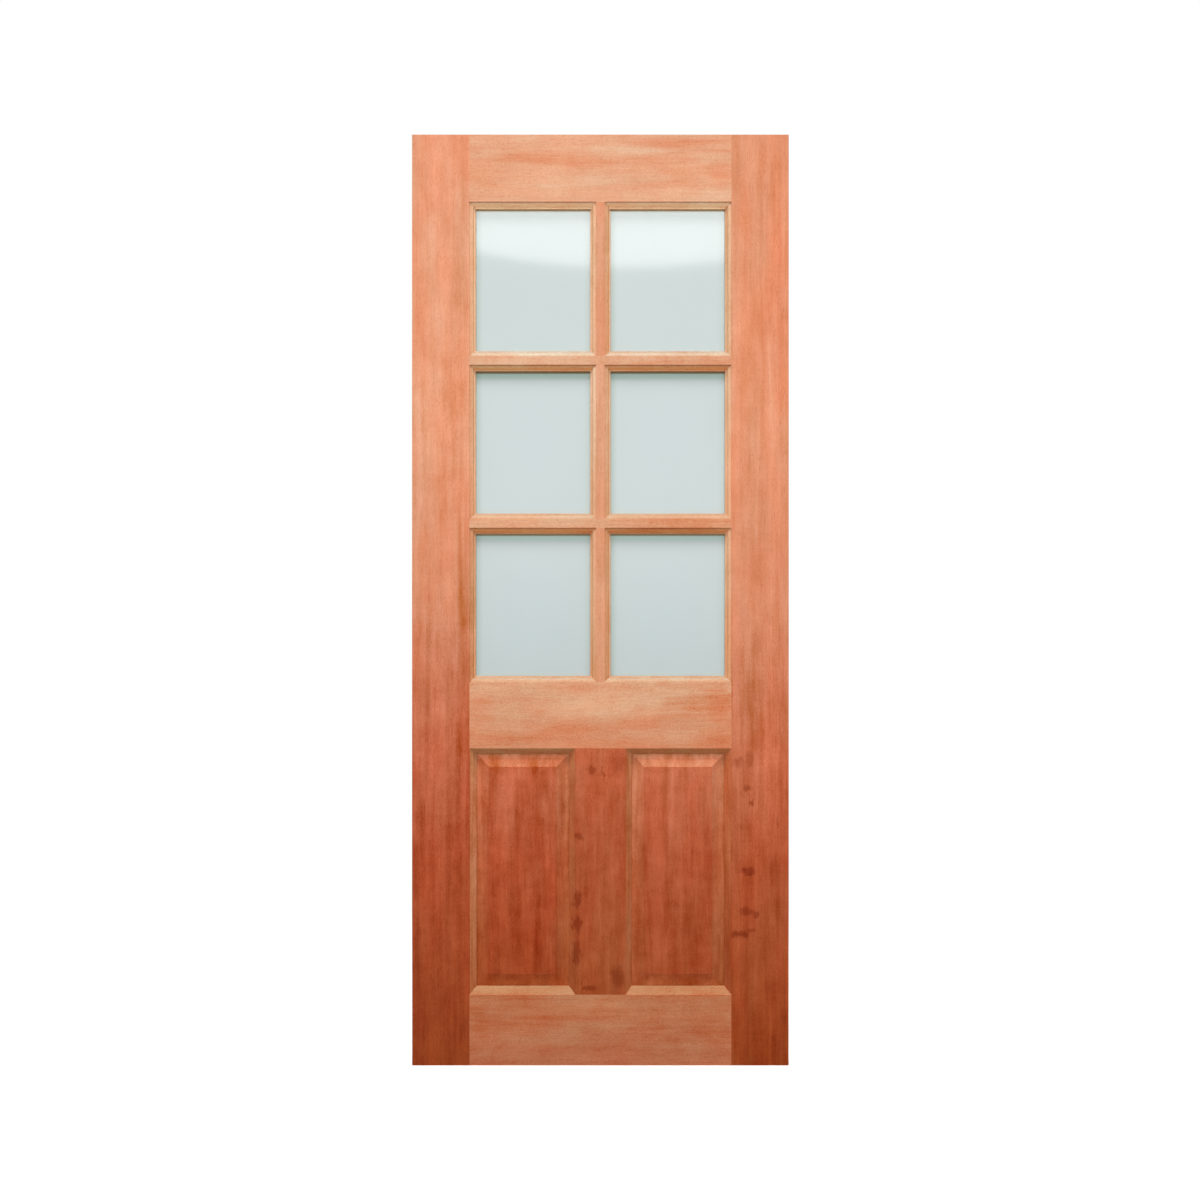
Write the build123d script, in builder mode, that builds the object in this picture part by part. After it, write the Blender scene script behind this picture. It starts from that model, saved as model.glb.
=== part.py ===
"""Six-light glazed door leaf: moulded hardwood framing, glass above, two raised panels below.

The hinge edge lies on X = 0, X runs across the leaf, the front faces -Y and Z runs up.
"""

import os

from build123d import *

# Leaf
LEAF_WIDTH = 826.0
LEAF_HEIGHT = 2040.0
LEAF_THICKNESS = 44.0
EASED_EDGE = 1.5

# Flat face of each framing member, measured between its arrises
STILE_FACE = 126.0
TOP_RAIL_FACE = 147.0
MIDDLE_RAIL_FACE = 145.0
BOTTOM_RAIL_FACE = 155.0
MUNTIN_FACE = 110.0
GLAZING_BAR_FACE = 19.0
PANEL_OPENING_HEIGHT = 540.0

# Ovolo moulding round the glass: quirk, flat, quarter round, flat
QUIRK = 2.5
UPPER_FILLET = 3.0
OVOLO_RADIUS = 6.0
LOWER_FILLET = 3.5
MOULDING_WIDTH = UPPER_FILLET + OVOLO_RADIUS + LOWER_FILLET
MOULDING_DEPTH = QUIRK + OVOLO_RADIUS

# Glazing: the glass beds on a moulded lip and is held by mitred beads from behind
LIP_DEPTH = 15.0
GLASS_THICKNESS = 6.0
GLASS_EDGE_GAP = 2.0
ROWS = ("bottom", "middle", "top")
COLUMNS = ("left", "right")

# Raised panels: tongue held in a groove, long bevel, small shoulder, flat field
GROOVE_WIDTH = 12.0
GROOVE_FLOOR = 2.0
TONGUE_PLAY = 0.2
PANEL_EDGE_GAP = 2.0
BEVEL_WIDTH = 28.0
FIELD_SETBACK = 6.0
FIELD_SHOULDER = 1.5

# Plain splay round the panels, with a square edge left beside the groove; the groove's floor stays a little
# inside the line of the arris, so the panels keep their size whatever the splay
SPLAY_WIDTH = 14.0
SPLAY_SQUARE = 2.0
SPLAY_DEPTH = (LEAF_THICKNESS - GROOVE_WIDTH) / 2 - SPLAY_SQUARE
GROOVE_DEPTH = SPLAY_WIDTH - GROOVE_FLOOR

# Places that follow from the sizes above
FRONT = -LEAF_THICKNESS / 2
BACK = LEAF_THICKNESS / 2
OPENING_LEFT = STILE_FACE
OPENING_RIGHT = LEAF_WIDTH - STILE_FACE
OPENING_WIDTH = OPENING_RIGHT - OPENING_LEFT
PANEL_BOTTOM = BOTTOM_RAIL_FACE
PANEL_TOP = PANEL_BOTTOM + PANEL_OPENING_HEIGHT
GLAZED_BOTTOM = PANEL_TOP + MIDDLE_RAIL_FACE
GLAZED_TOP = LEAF_HEIGHT - TOP_RAIL_FACE
LIGHT_WIDTH = (OPENING_WIDTH - GLAZING_BAR_FACE * (len(COLUMNS) - 1)) / len(COLUMNS)
LIGHT_HEIGHT = (GLAZED_TOP - GLAZED_BOTTOM - GLAZING_BAR_FACE * (len(ROWS) - 1)) / len(ROWS)
PANEL_OPENING_WIDTH = (OPENING_WIDTH - MUNTIN_FACE) / 2
GLASS_FRONT = FRONT + LIP_DEPTH
GLASS_BACK = GLASS_FRONT + GLASS_THICKNESS

os.makedirs("parts", exist_ok=True)


def finish(builder, name):
    """Label one piece and write its file."""
    builder.part.label = name
    export_step(builder.part, f"parts/{name}.step")


# Waste that the cutters take from the front edge, with the arris at X = 0 and the opening towards +X
with BuildSketch() as ovolo_waste:
    with BuildLine():
        Polyline((0, FRONT + QUIRK), (0, FRONT), (MOULDING_WIDTH, FRONT))
        Line((MOULDING_WIDTH, FRONT), (MOULDING_WIDTH, FRONT + MOULDING_DEPTH))
        Line((MOULDING_WIDTH, FRONT + MOULDING_DEPTH), (UPPER_FILLET + OVOLO_RADIUS, FRONT + MOULDING_DEPTH))
        CenterArc((UPPER_FILLET, FRONT + MOULDING_DEPTH), OVOLO_RADIUS, 0, -90)
        Line((UPPER_FILLET, FRONT + QUIRK), (0, FRONT + QUIRK))
    make_face()

with BuildSketch() as splay_waste:
    with BuildLine():
        Polyline((0, FRONT), (SPLAY_WIDTH, FRONT), (SPLAY_WIDTH, FRONT + SPLAY_DEPTH), close=True)
    make_face()

# Edge that takes a panel: splayed on both faces and grooved between
with BuildSketch() as panel_edge:
    Rectangle(SPLAY_WIDTH, LEAF_THICKNESS, align=(Align.MIN, Align.CENTER))
    with Locations((SPLAY_WIDTH, 0)):
        Rectangle(GROOVE_DEPTH, GROOVE_WIDTH, align=(Align.MAX, Align.CENTER), mode=Mode.SUBTRACT)
    add(splay_waste.sketch, mode=Mode.SUBTRACT)
    mirror(splay_waste.sketch, about=Plane.XZ, mode=Mode.SUBTRACT)

# Edge that takes glass: a moulded lip at the front and an open rebate behind it
with BuildSketch() as glass_edge:
    with Locations((0, FRONT)):
        Rectangle(MOULDING_WIDTH, LIP_DEPTH, align=(Align.MIN, Align.MIN))
    add(ovolo_waste.sketch, mode=Mode.SUBTRACT)

# Loose bead that fills the rebate behind the glass and repeats the moulding on the back
with BuildSketch() as bead_section:
    with Locations((0, BACK)):
        Rectangle(MOULDING_WIDTH, BACK - GLASS_BACK, align=(Align.MIN, Align.MAX))
    mirror(ovolo_waste.sketch, about=Plane.XZ, mode=Mode.SUBTRACT)


def member_section(face, low, high):
    """Cross-section of a framing member: its flat face from X = 0 and the edges it carries."""
    with BuildSketch() as section:
        Rectangle(face, LEAF_THICKNESS, align=(Align.MIN, Align.CENTER))
        if low is not None:
            mirror(low.sketch, about=Plane.YZ)
        if high is not None:
            with Locations((face, 0)):
                add(high.sketch)
    return section.sketch


def upright_plane(x, z):
    """Plane of an upright member's section, which is extruded upwards from height z."""
    return Plane(origin=(x, 0, z), x_dir=(1, 0, 0), z_dir=(0, 0, 1))


def cross_plane(z):
    """Plane of a cross member's section, which is extruded from the right stile to the left one."""
    return Plane(origin=(OPENING_RIGHT, 0, z), x_dir=(0, 0, 1), z_dir=(-1, 0, 0))


# Stiles: grooved beside the panels and the rails, rebated beside the glass
with BuildPart() as left_stile:
    for foot, head, edge in (
        (0.0, GLAZED_BOTTOM, panel_edge),
        (GLAZED_BOTTOM, GLAZED_TOP, glass_edge),
        (GLAZED_TOP, LEAF_HEIGHT, panel_edge),
    ):
        with BuildSketch(upright_plane(0, foot)):
            add(member_section(STILE_FACE, None, edge))
        extrude(amount=head - foot)
    fillet(left_stile.edges().filter_by(Axis.Z).group_by(Axis.X)[0], EASED_EDGE)
finish(left_stile, "left_stile")

with BuildPart() as right_stile:
    mirror(left_stile.part, about=Plane.YZ.offset(LEAF_WIDTH / 2))
finish(right_stile, "right_stile")

# Rails: square ends run to the arris of the stiles and are scribed over their moulding
with BuildPart() as top_rail:
    with BuildSketch(cross_plane(GLAZED_TOP)):
        add(member_section(TOP_RAIL_FACE, glass_edge, None))
    extrude(amount=OPENING_WIDTH)
    add([left_stile.part, right_stile.part], mode=Mode.SUBTRACT)
finish(top_rail, "top_rail")

with BuildPart() as middle_rail:
    with BuildSketch(cross_plane(PANEL_TOP)):
        add(member_section(MIDDLE_RAIL_FACE, panel_edge, glass_edge))
    extrude(amount=OPENING_WIDTH)
    add([left_stile.part, right_stile.part], mode=Mode.SUBTRACT)
finish(middle_rail, "middle_rail")

with BuildPart() as bottom_rail:
    with BuildSketch(cross_plane(0)):
        add(member_section(BOTTOM_RAIL_FACE, None, panel_edge))
    extrude(amount=OPENING_WIDTH)
    add([left_stile.part, right_stile.part], mode=Mode.SUBTRACT)
finish(bottom_rail, "bottom_rail")

# Muntin: stands between the two lower rails and parts the panels
with BuildPart() as muntin:
    with BuildSketch(upright_plane((LEAF_WIDTH - MUNTIN_FACE) / 2, PANEL_BOTTOM)):
        add(member_section(MUNTIN_FACE, panel_edge, panel_edge))
    extrude(amount=PANEL_OPENING_HEIGHT)
    add([middle_rail.part, bottom_rail.part], mode=Mode.SUBTRACT)
finish(muntin, "muntin")

# Cross bars: run through from stile to stile
cross_bars = []
for index, name in enumerate(("lower_cross_bar", "upper_cross_bar")):
    with BuildPart() as bar:
        below = GLAZED_BOTTOM + LIGHT_HEIGHT * (index + 1) + GLAZING_BAR_FACE * index
        with BuildSketch(cross_plane(below)):
            add(member_section(GLAZING_BAR_FACE, glass_edge, glass_edge))
        extrude(amount=OPENING_WIDTH)
        add([left_stile.part, right_stile.part], mode=Mode.SUBTRACT)
    finish(bar, name)
    cross_bars.append(bar.part)

# Upright bars: one short length in each row, scribed to the rail or cross bar at both ends
for index, row in enumerate(ROWS):
    with BuildPart() as bar:
        foot = GLAZED_BOTTOM + (LIGHT_HEIGHT + GLAZING_BAR_FACE) * index
        with BuildSketch(upright_plane((LEAF_WIDTH - GLAZING_BAR_FACE) / 2, foot)):
            add(member_section(GLAZING_BAR_FACE, glass_edge, glass_edge))
        extrude(amount=LIGHT_HEIGHT)
        add([middle_rail.part, top_rail.part, *cross_bars], mode=Mode.SUBTRACT)
    finish(bar, f"{row}_upright_bar")

# Raised panels: both faces alike
SIGHT_WIDTH = PANEL_OPENING_WIDTH - 2 * SPLAY_WIDTH
SIGHT_HEIGHT = PANEL_OPENING_HEIGHT - 2 * SPLAY_WIDTH
TONGUE_REACH = GROOVE_DEPTH - PANEL_EDGE_GAP
TONGUE_HALF = GROOVE_WIDTH / 2 - TONGUE_PLAY
FIELD_HALF = LEAF_THICKNESS / 2 - FIELD_SETBACK
for side, name in enumerate(COLUMNS):
    middle_x = OPENING_LEFT + PANEL_OPENING_WIDTH / 2 + (PANEL_OPENING_WIDTH + MUNTIN_FACE) * side
    middle_z = (PANEL_BOTTOM + PANEL_TOP) / 2
    core = Plane(origin=(middle_x, 0, middle_z), x_dir=(1, 0, 0), z_dir=(0, -1, 0))
    with BuildPart() as panel:
        with BuildSketch(core):
            Rectangle(SIGHT_WIDTH + 2 * TONGUE_REACH, SIGHT_HEIGHT + 2 * TONGUE_REACH)
        extrude(amount=TONGUE_HALF, both=True)
        with BuildSketch(core.offset(TONGUE_HALF)):
            Rectangle(SIGHT_WIDTH, SIGHT_HEIGHT)
        with BuildSketch(core.offset(FIELD_HALF - FIELD_SHOULDER)) as field:
            Rectangle(SIGHT_WIDTH - 2 * BEVEL_WIDTH, SIGHT_HEIGHT - 2 * BEVEL_WIDTH)
        loft(ruled=True)
        extrude(field.sketch, amount=FIELD_SHOULDER)
        mirror(about=Plane.XZ)
    finish(panel, f"{name}_panel")

# Glass and beads of the six lights
for level, row in enumerate(ROWS):
    for side, column in enumerate(COLUMNS):
        left = OPENING_LEFT + (LIGHT_WIDTH + GLAZING_BAR_FACE) * side
        bottom = GLAZED_BOTTOM + (LIGHT_HEIGHT + GLAZING_BAR_FACE) * level
        right = left + LIGHT_WIDTH
        top = bottom + LIGHT_HEIGHT
        with BuildPart() as pane:
            with Locations(((left + right) / 2, GLASS_FRONT, (bottom + top) / 2)):
                Box(
                    LIGHT_WIDTH - 2 * GLASS_EDGE_GAP,
                    GLASS_THICKNESS,
                    LIGHT_HEIGHT - 2 * GLASS_EDGE_GAP,
                    align=(Align.CENTER, Align.MIN, Align.CENTER),
                )
        finish(pane, f"{row}_{column}_pane")
        for place, corner, inward, length in (
            ("sill", (right, 0, bottom), (0, 0, 1), LIGHT_WIDTH),
            ("left", (left, 0, bottom), (1, 0, 0), LIGHT_HEIGHT),
            ("head", (left, 0, top), (0, 0, -1), LIGHT_WIDTH),
            ("right", (right, 0, top), (-1, 0, 0), LIGHT_HEIGHT),
        ):
            along = Vector(*inward).cross(Vector(0, 1, 0))
            with BuildPart() as bead:
                with BuildSketch(Plane(origin=corner, x_dir=inward, z_dir=along)):
                    add(bead_section.sketch)
                extrude(amount=length)
                split(bisect_by=Plane(origin=corner, z_dir=along - Vector(*inward)), keep=Keep.TOP)
                far = Vector(*corner) + along * length
                split(bisect_by=Plane(origin=far, z_dir=-along - Vector(*inward)), keep=Keep.TOP)
            finish(bead, f"{row}_{column}_{place}_bead")
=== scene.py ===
import math

import bpy
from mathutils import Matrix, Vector


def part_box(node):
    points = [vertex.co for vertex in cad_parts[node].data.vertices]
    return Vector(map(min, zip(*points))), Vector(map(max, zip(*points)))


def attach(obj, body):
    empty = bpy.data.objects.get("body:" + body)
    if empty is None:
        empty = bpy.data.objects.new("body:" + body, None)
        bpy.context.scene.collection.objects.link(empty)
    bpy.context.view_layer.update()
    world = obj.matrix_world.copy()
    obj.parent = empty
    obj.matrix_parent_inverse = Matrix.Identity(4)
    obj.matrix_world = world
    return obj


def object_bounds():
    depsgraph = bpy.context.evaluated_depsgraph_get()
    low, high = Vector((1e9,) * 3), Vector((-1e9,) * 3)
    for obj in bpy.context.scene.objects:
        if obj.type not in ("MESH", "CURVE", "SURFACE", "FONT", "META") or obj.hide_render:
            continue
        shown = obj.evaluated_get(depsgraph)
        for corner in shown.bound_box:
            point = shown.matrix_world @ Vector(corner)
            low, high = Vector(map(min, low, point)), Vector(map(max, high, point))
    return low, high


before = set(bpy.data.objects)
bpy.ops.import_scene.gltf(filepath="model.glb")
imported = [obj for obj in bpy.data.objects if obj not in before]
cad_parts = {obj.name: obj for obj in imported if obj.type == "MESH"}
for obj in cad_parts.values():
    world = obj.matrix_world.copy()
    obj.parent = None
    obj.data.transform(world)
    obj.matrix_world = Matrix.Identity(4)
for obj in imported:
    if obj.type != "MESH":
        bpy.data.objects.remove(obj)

cad_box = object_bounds()

# Sizes of the leaf, in metres, as the frame gives them
LEFT, RIGHT = cad_box[0][0], cad_box[1][0]
FRONT, BACK = cad_box[0][1], cad_box[1][1]
FOOT, HEAD = cad_box[0][2], cad_box[1][2]
MIDDLE = (LEFT + RIGHT) / 2
HEIGHT = HEAD - FOOT
ROWS = ("bottom", "middle", "top")
COLUMNS = ("left", "right")
BEAD_PLACES = ("sill", "left", "head", "right")


def srgb(red, green, blue):
    """A colour as the eye names it, from 0 to 255, as the linear colour that a shader takes."""
    linear = []
    for channel in (red, green, blue):
        part = channel / 255
        linear.append(part / 12.92 if part <= 0.04045 else ((part + 0.055) / 1.055) ** 2.4)
    return (*linear, 1.0)


class Value:
    """One output of a shader node, so that shader maths reads as plain arithmetic."""

    def __init__(self, finish, socket):
        self.finish = finish
        self.socket = socket

    def maths(self, operation, *terms):
        return self.finish.add("ShaderNodeMath", {"operation": operation}, dict(enumerate(terms)))

    def __add__(self, other):
        return self.maths("ADD", self, other)

    def __radd__(self, other):
        return self.maths("ADD", other, self)

    def __sub__(self, other):
        return self.maths("SUBTRACT", self, other)

    def __rsub__(self, other):
        return self.maths("SUBTRACT", other, self)

    def __mul__(self, other):
        return self.maths("MULTIPLY", self, other)

    def __rmul__(self, other):
        return self.maths("MULTIPLY", other, self)

    def __truediv__(self, other):
        return self.maths("DIVIDE", self, other)

    def __pow__(self, other):
        return self.maths("POWER", self, other)

    def __abs__(self):
        return self.maths("ABSOLUTE", self)

    def larger(self, other):
        return self.maths("MAXIMUM", self, other)

    def smaller(self, other):
        return self.maths("MINIMUM", self, other)

    def rise(self, start, end):
        """0 before start and 1 after end, smooth between; falls instead where end is the lower one."""
        return self.finish.add(
            "ShaderNodeMapRange",
            {"interpolation_type": "SMOOTHSTEP"},
            {"Value": self, "From Min": start, "From Max": end},
        )


class Finish:
    """A material in the making: add() makes any node and returns one of its outputs."""

    def __init__(self, name):
        self.material = bpy.data.materials.new(name)
        self.material.use_nodes = True
        self.tree = self.material.node_tree
        self.surface = self.tree.nodes["Principled BSDF"]

    def add(self, kind, settings, sockets, output=0):
        node = self.tree.nodes.new(kind)
        for key, setting in settings.items():
            if key == "stops":
                self.set_stops(node.color_ramp, setting)
            else:
                setattr(node, key, setting)
        self.fill(node, sockets)
        return Value(self, node.outputs[output])

    def fill(self, node, sockets):
        for key, value in sockets.items():
            if isinstance(value, Value):
                self.tree.links.new(value.socket, node.inputs[key])
            else:
                node.inputs[key].default_value = value

    @staticmethod
    def set_stops(ramp, stops):
        while len(ramp.elements) < len(stops):
            ramp.elements.new(0.5)
        for element, (place, colour) in zip(ramp.elements, stops):
            element.position = place
            element.color = colour

    def place(self):
        return self.add("ShaderNodeTexCoord", {}, {}, output="Object")

    def axes(self, vector):
        """The three parts of a vector as values."""
        return [self.add("ShaderNodeSeparateXYZ", {}, {0: vector}, output=axis) for axis in "XYZ"]

    def vector_maths(self, operation, *terms, output=0):
        return self.add("ShaderNodeVectorMath", {"operation": operation}, dict(enumerate(terms)), output)

    def noise(self, place, lumps, shift=(0, 0, 0), detail=2.0, rough=0.5, output=0):
        """Noise with its own size along each axis, in lumps to the metre."""
        scaled = self.add("ShaderNodeMapping", {}, {"Vector": place, "Location": shift, "Scale": lumps})
        return self.add(
            "ShaderNodeTexNoise",
            {"noise_dimensions": "3D"},
            {"Vector": scaled, "Scale": 1.0, "Detail": detail, "Roughness": rough},
            output,
        )

    def drift(self, place, lumps, shift, reach):
        """Places moved about softly, so that what is drawn on them wavers."""
        sway = self.noise(place, lumps, shift, detail=1.0, output="Color")
        sway = self.vector_maths("SUBTRACT", sway, (0.5, 0.5, 0.5))
        return self.vector_maths("MULTIPLY_ADD", sway, reach, place)

    def spot(self, place, across, up, half_width, half_height):
        """Distance from the middle of an oval spot on the leaf's face, 1 at its rim."""
        scale = (1 / half_width, 0, 1 / half_height)
        middle = (-across / half_width, 0, -up / half_height)
        from_middle = self.vector_maths("MULTIPLY_ADD", place, scale, middle)
        return self.vector_maths("LENGTH", from_middle, output="Value")

    def mix(self, factor, first, second, blend="MIX", clamp_factor=True):
        return self.add(
            "ShaderNodeMix",
            {"data_type": "RGBA", "blend_type": blend, "clamp_factor": clamp_factor},
            {0: factor, 6: first, 7: second},
            output=2,
        )

    def tint(self, factor, colour, shade):
        """The colour multiplied by a shade, as far as the factor says."""
        return self.mix(factor, colour, shade, "MULTIPLY")

    def height_tones(self, up, tones):
        """Colours that change with height; each tone is (height in metres, colour)."""
        stops = [(height / HEIGHT, srgb(*colour)) for height, colour in tones]
        return self.add("ShaderNodeValToRGB", {"stops": stops}, {0: up / HEIGHT})


# Tones of the faces, from the foot of the leaf to its head: height and colour. Their darkening towards the
# foot is partly the wood's own colour and partly painted shade, of light falling off downwards.
UPRIGHT_TONES = (
    (0.00, (146, 59, 20)),
    (0.20, (157, 66, 29)),
    (0.45, (172, 76, 40)),
    (0.70, (195, 101, 64)),
    (1.00, (213, 132, 93)),
    (1.40, (223, 146, 105)),
    (2.04, (215, 138, 98)),
)
CROSS_TONES = (
    (0.00, (188, 109, 73)),
    (0.15, (191, 115, 75)),
    (0.70, (211, 134, 94)),
    (0.84, (218, 157, 118)),
    (2.04, (214, 151, 114)),
)

# Tones of the worked edges: the splays round the panels and the mouldings round the glass. Like the faces,
# they darken towards the foot, partly as painted shade. On the middle rail and the cross bars the lower
# height is the edge under the board and the upper one the edge over it, so the difference between them is
# painted shade below and painted light above; the top rail's pale tone is partly painted light, lifting its
# shaded underside.
GLAZING_EDGE_TONES = ((0.84, (216, 153, 108)), (1.40, (222, 168, 126)))
LEFT_STILE_EDGE_TONES = (
    (0.16, (185, 113, 69)),
    (0.45, (199, 122, 79)),
    (0.60, (202, 130, 87)),
    (0.66, (205, 144, 100)),
    *GLAZING_EDGE_TONES,
    (1.80, (228, 176, 133)),
)
RIGHT_STILE_EDGE_TONES = (
    (0.16, (166, 79, 40)),
    (0.45, (180, 91, 49)),
    (0.66, (204, 108, 64)),
    *GLAZING_EDGE_TONES,
)
MUNTIN_EDGE_TONES = (
    (0.20, (169, 81, 39)),
    (0.34, (177, 91, 49)),
    (0.60, (186, 99, 56)),
    (0.66, (195, 112, 66)),
)
BOTTOM_RAIL_EDGE_TONES = ((0.15, (171, 114, 74)), (0.17, (172, 116, 76)))
MIDDLE_RAIL_EDGE_TONES = ((0.69, (185, 135, 97)), (0.84, (221, 172, 134)))
LOWER_BAR_EDGE_TONES = ((1.17, (219, 150, 97)), (1.20, (217, 165, 127)))
UPPER_BAR_EDGE_TONES = ((1.53, (229, 170, 120)), (1.56, (216, 178, 146)))
TOP_RAIL_EDGE_TONES = ((1.88, (252, 213, 174)), (1.90, (252, 213, 174)))

# How one board differs from the next: multipliers of its tones, up to one height and from another
PLAIN = ((0.0, (1.0, 1.0, 1.0, 1)), (2.04, (1.0, 1.0, 1.0, 1)))
LEFT_STILE_TINTS = ((0.75, (0.93, 0.86, 0.84, 1)), (1.10, (0.99, 1.02, 1.05, 1)))
RIGHT_STILE_TINTS = ((0.65, (1.02, 1.09, 1.13, 1)), (1.35, (0.95, 0.91, 0.89, 1)))
MUNTIN_TINTS = ((0.15, (1.08, 1.35, 1.55, 1)), (0.70, (0.96, 0.92, 0.87, 1)))
LEFT_PANEL_TINTS = ((0.15, (1.05, 1.04, 1.08, 1)), (0.70, (1.00, 0.98, 1.00, 1)))
RIGHT_PANEL_TINTS = ((0.15, (1.12, 1.29, 1.58, 1)), (0.70, (1.02, 1.06, 1.09, 1)))
UPRIGHT_BAR_TINTS = ((0.84, (0.99, 0.87, 0.80, 1)), (1.90, (0.98, 0.84, 0.77, 1)))

# Multipliers of the figure: dark streaks are redder than the board and pale ones are more tan
UPRIGHT_STREAKS = ((0.83, 0.70, 0.54, 1), (1.20, 1.43, 1.80, 1))
CROSS_STREAKS = ((0.91, 0.70, 0.59, 1), (1.10, 1.43, 1.69, 1))
RED_WOOD = (1.02, 0.94, 0.89, 1)
TAN_WOOD = (0.98, 1.07, 1.11, 1)
PORE_TINT = (0.72, 0.58, 0.50, 1)
GUM_TINT = (0.60, 0.41, 0.28, 1)
BLUSH_TINT = (1.00, 0.80, 0.72, 1)

# Multipliers of the panels' bevels, of the sides and parts of the mouldings, and of the ends of boards. All
# but the first and the last two are painted light or painted shade, set by the way a surface faces and how
# deep it lies.
BEVEL_TINT = (1.05, 1.24, 1.30, 1)
MARGIN_PAINTED_LIGHT = (1.10, 1.24, 1.26, 1)
UPPER_SHOULDER_PAINTED_LIGHT = (1.27, 1.13, 1.12, 1)
UPPER_BEVEL_PAINTED_LIGHT = (1.03, 1.24, 1.33, 1)
RIGHT_BEVEL_PAINTED_SHADE = (0.94, 0.98, 0.96, 1)
UNDER_BEVEL_PAINTED_LIGHT = (1.27, 1.20, 1.16, 1)
RIGHT_SIDE_PAINTED_SHADE = (0.91, 0.84, 0.77, 1)
MUNTIN_RIGHT_PAINTED_LIGHT = (1.05, 1.30, 1.55, 1)
UPPER_SIDE_PAINTED_SHADE = (0.62, 0.68, 0.72, 1)
UNDERSIDE_PAINTED_SHADE = (1.08, 0.82, 0.59, 1)
QUIRK_PAINTED_SHADE = (0.47, 0.30, 0.17, 1)
HEAD_FILLET_PAINTED_SHADE = (0.88, 0.73, 0.62, 1)
SIDE_FILLET_PAINTED_SHADE = (0.88, 0.78, 0.71, 1)
NOSING_PAINTED_LIGHT = (1.22, 1.32, 1.45, 1)
LIP_PAINTED_SHADE = (0.30, 0.22, 0.15, 1)
TOP_LIP_PAINTED_SHADE = (1.00, 0.90, 0.75, 1)
END_GRAIN_TINT = (0.70, 0.62, 0.55, 1)
TOP_EDGE_TINT = (0.62, 0.55, 0.52, 1)

# Sizes of the figure in metres, across the grain and along it
SWAY_SIZE = (0.10, 0.45)
BAND_SIZE = (0.034, 0.60)
HUE_SIZE = (0.050, 0.24)
STREAK_SIZE = (0.011, 0.24)
FIBRE_SIZE = (0.0030, 0.060)
MOTTLE_SIZE = (0.030, 0.06)
RIPPLE_SIZE = (0.06, 0.010)
FLECK_SIZE = (0.0022, 0.030)
SPECKLE_SIZE = (0.0030, 0.0045)
PORE_SIZE = (0.0009, 0.012)

# How far the grain sways, and how far apart the seeds put two boards
UPRIGHT_SWAY = (0.014, 0.014, 0.0)
CROSS_SWAY = (0.0, 0.03, 0.03)
SEED_STEPS = (7.3, 3.1, 5.7)

# How much each part of the figure counts: bands, streaks, fibres and speckle, then the other parts
UPRIGHT_SHARES = (0.85, 0.65, 0.35, 0.40)
CROSS_SHARES = (0.80, 0.50, 0.45, 0.70)
FLECK_SHARE = 0.16
MOTTLE_SHARE = 0.65
RIPPLE_SHARE = 0.12
PORE_SHARE = 0.55

# Soft steps, each from its start to its end: of noise, of a facing, and of a height in metres
FLECK_STEP = (0.58, 0.70)
PORE_STEP = (0.60, 0.72)
HUE_STEP = (0.30, 0.70)
RIGHT_FACING = (0.1, 0.6)
UP_FACING = (0.1, 0.7)
DOWN_FACING = (-0.2, -0.8)
SQUARE_FACING = (0.85, 0.97)
BEVEL_FACING = (0.05, 0.15)
BEVEL_DOWN_FACING = (-0.05, -0.15)
GLAZING_STEP = (0.75, 0.80)
TOP_LIP_STEP = (1.60, 1.75)
FIGURE_STEP = (0.55, 1.15)
TOP_EDGE_STEP = (HEAD - 0.003, HEAD - 0.001)
FRONT_STEP = (0.5 * FRONT, 0.6 * FRONT)

# Steps of depth below the faces, in metres, on the mouldings and then on the panels
WORKED_DEPTH = (0.0004, 0.0012)
FILLET_START = (0.0015, 0.0022)
QUIRK_END = (0.0030, 0.0024)
FILLET_END = (0.0034, 0.0028)
NOSING_START = (0.0046, 0.0058)
NOSING_END = (0.0094, 0.0084)
LIP_START = (0.0088, 0.0100)
BEVEL_START = (0.0068, 0.0080)
SHOULDER_START = (0.0095, 0.0122)
SHOULDER_END = (0.0155, 0.0138)
MARGIN_START = (0.0100, 0.0155)

# Worked edges begin this far inside the leaf's outline, and shade on a fillet ends over this width
WORKED_INSET = (0.004, 0.006)
SHADE_BLUR = 0.002

# Rims of patches and gum marks in their half sizes, and how far streaks and drift tear them
PATCH_RIM = (1.3, 0.1)
MARK_RIM = (1.35, 0.45)
RIM_TEAR = 1.2
MARK_LUMPS = (80, 80, 80)
MARK_DRIFT = (0.022, 0.0, 0.012)

# Relief and gloss of the timber
FIBRE_RELIEF = 0.6
PORE_RELIEF = 0.5
STREAK_RELIEF = 0.2
RELIEF_STRENGTH = 0.35
RELIEF_DISTANCE = 0.0006
TIMBER_ROUGHNESS = 0.58
FIBRE_ROUGHNESS = 0.2
PORE_ROUGHNESS = 0.15
DULL_SPECULAR = 0.1


class Site:
    """A point of the leaf as shader values: its place, its depth below the nearer face and its facing."""

    def __init__(self, finish):
        self.place = finish.place()
        self.x, self.y, self.z = finish.axes(self.place)
        self.depth = (self.y - FRONT).smaller(BACK - self.y)
        normal = finish.add("ShaderNodeNewGeometry", {}, {}, output="Normal")
        self.facing_across, self.facing_back, self.facing_up = finish.axes(normal)


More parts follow.
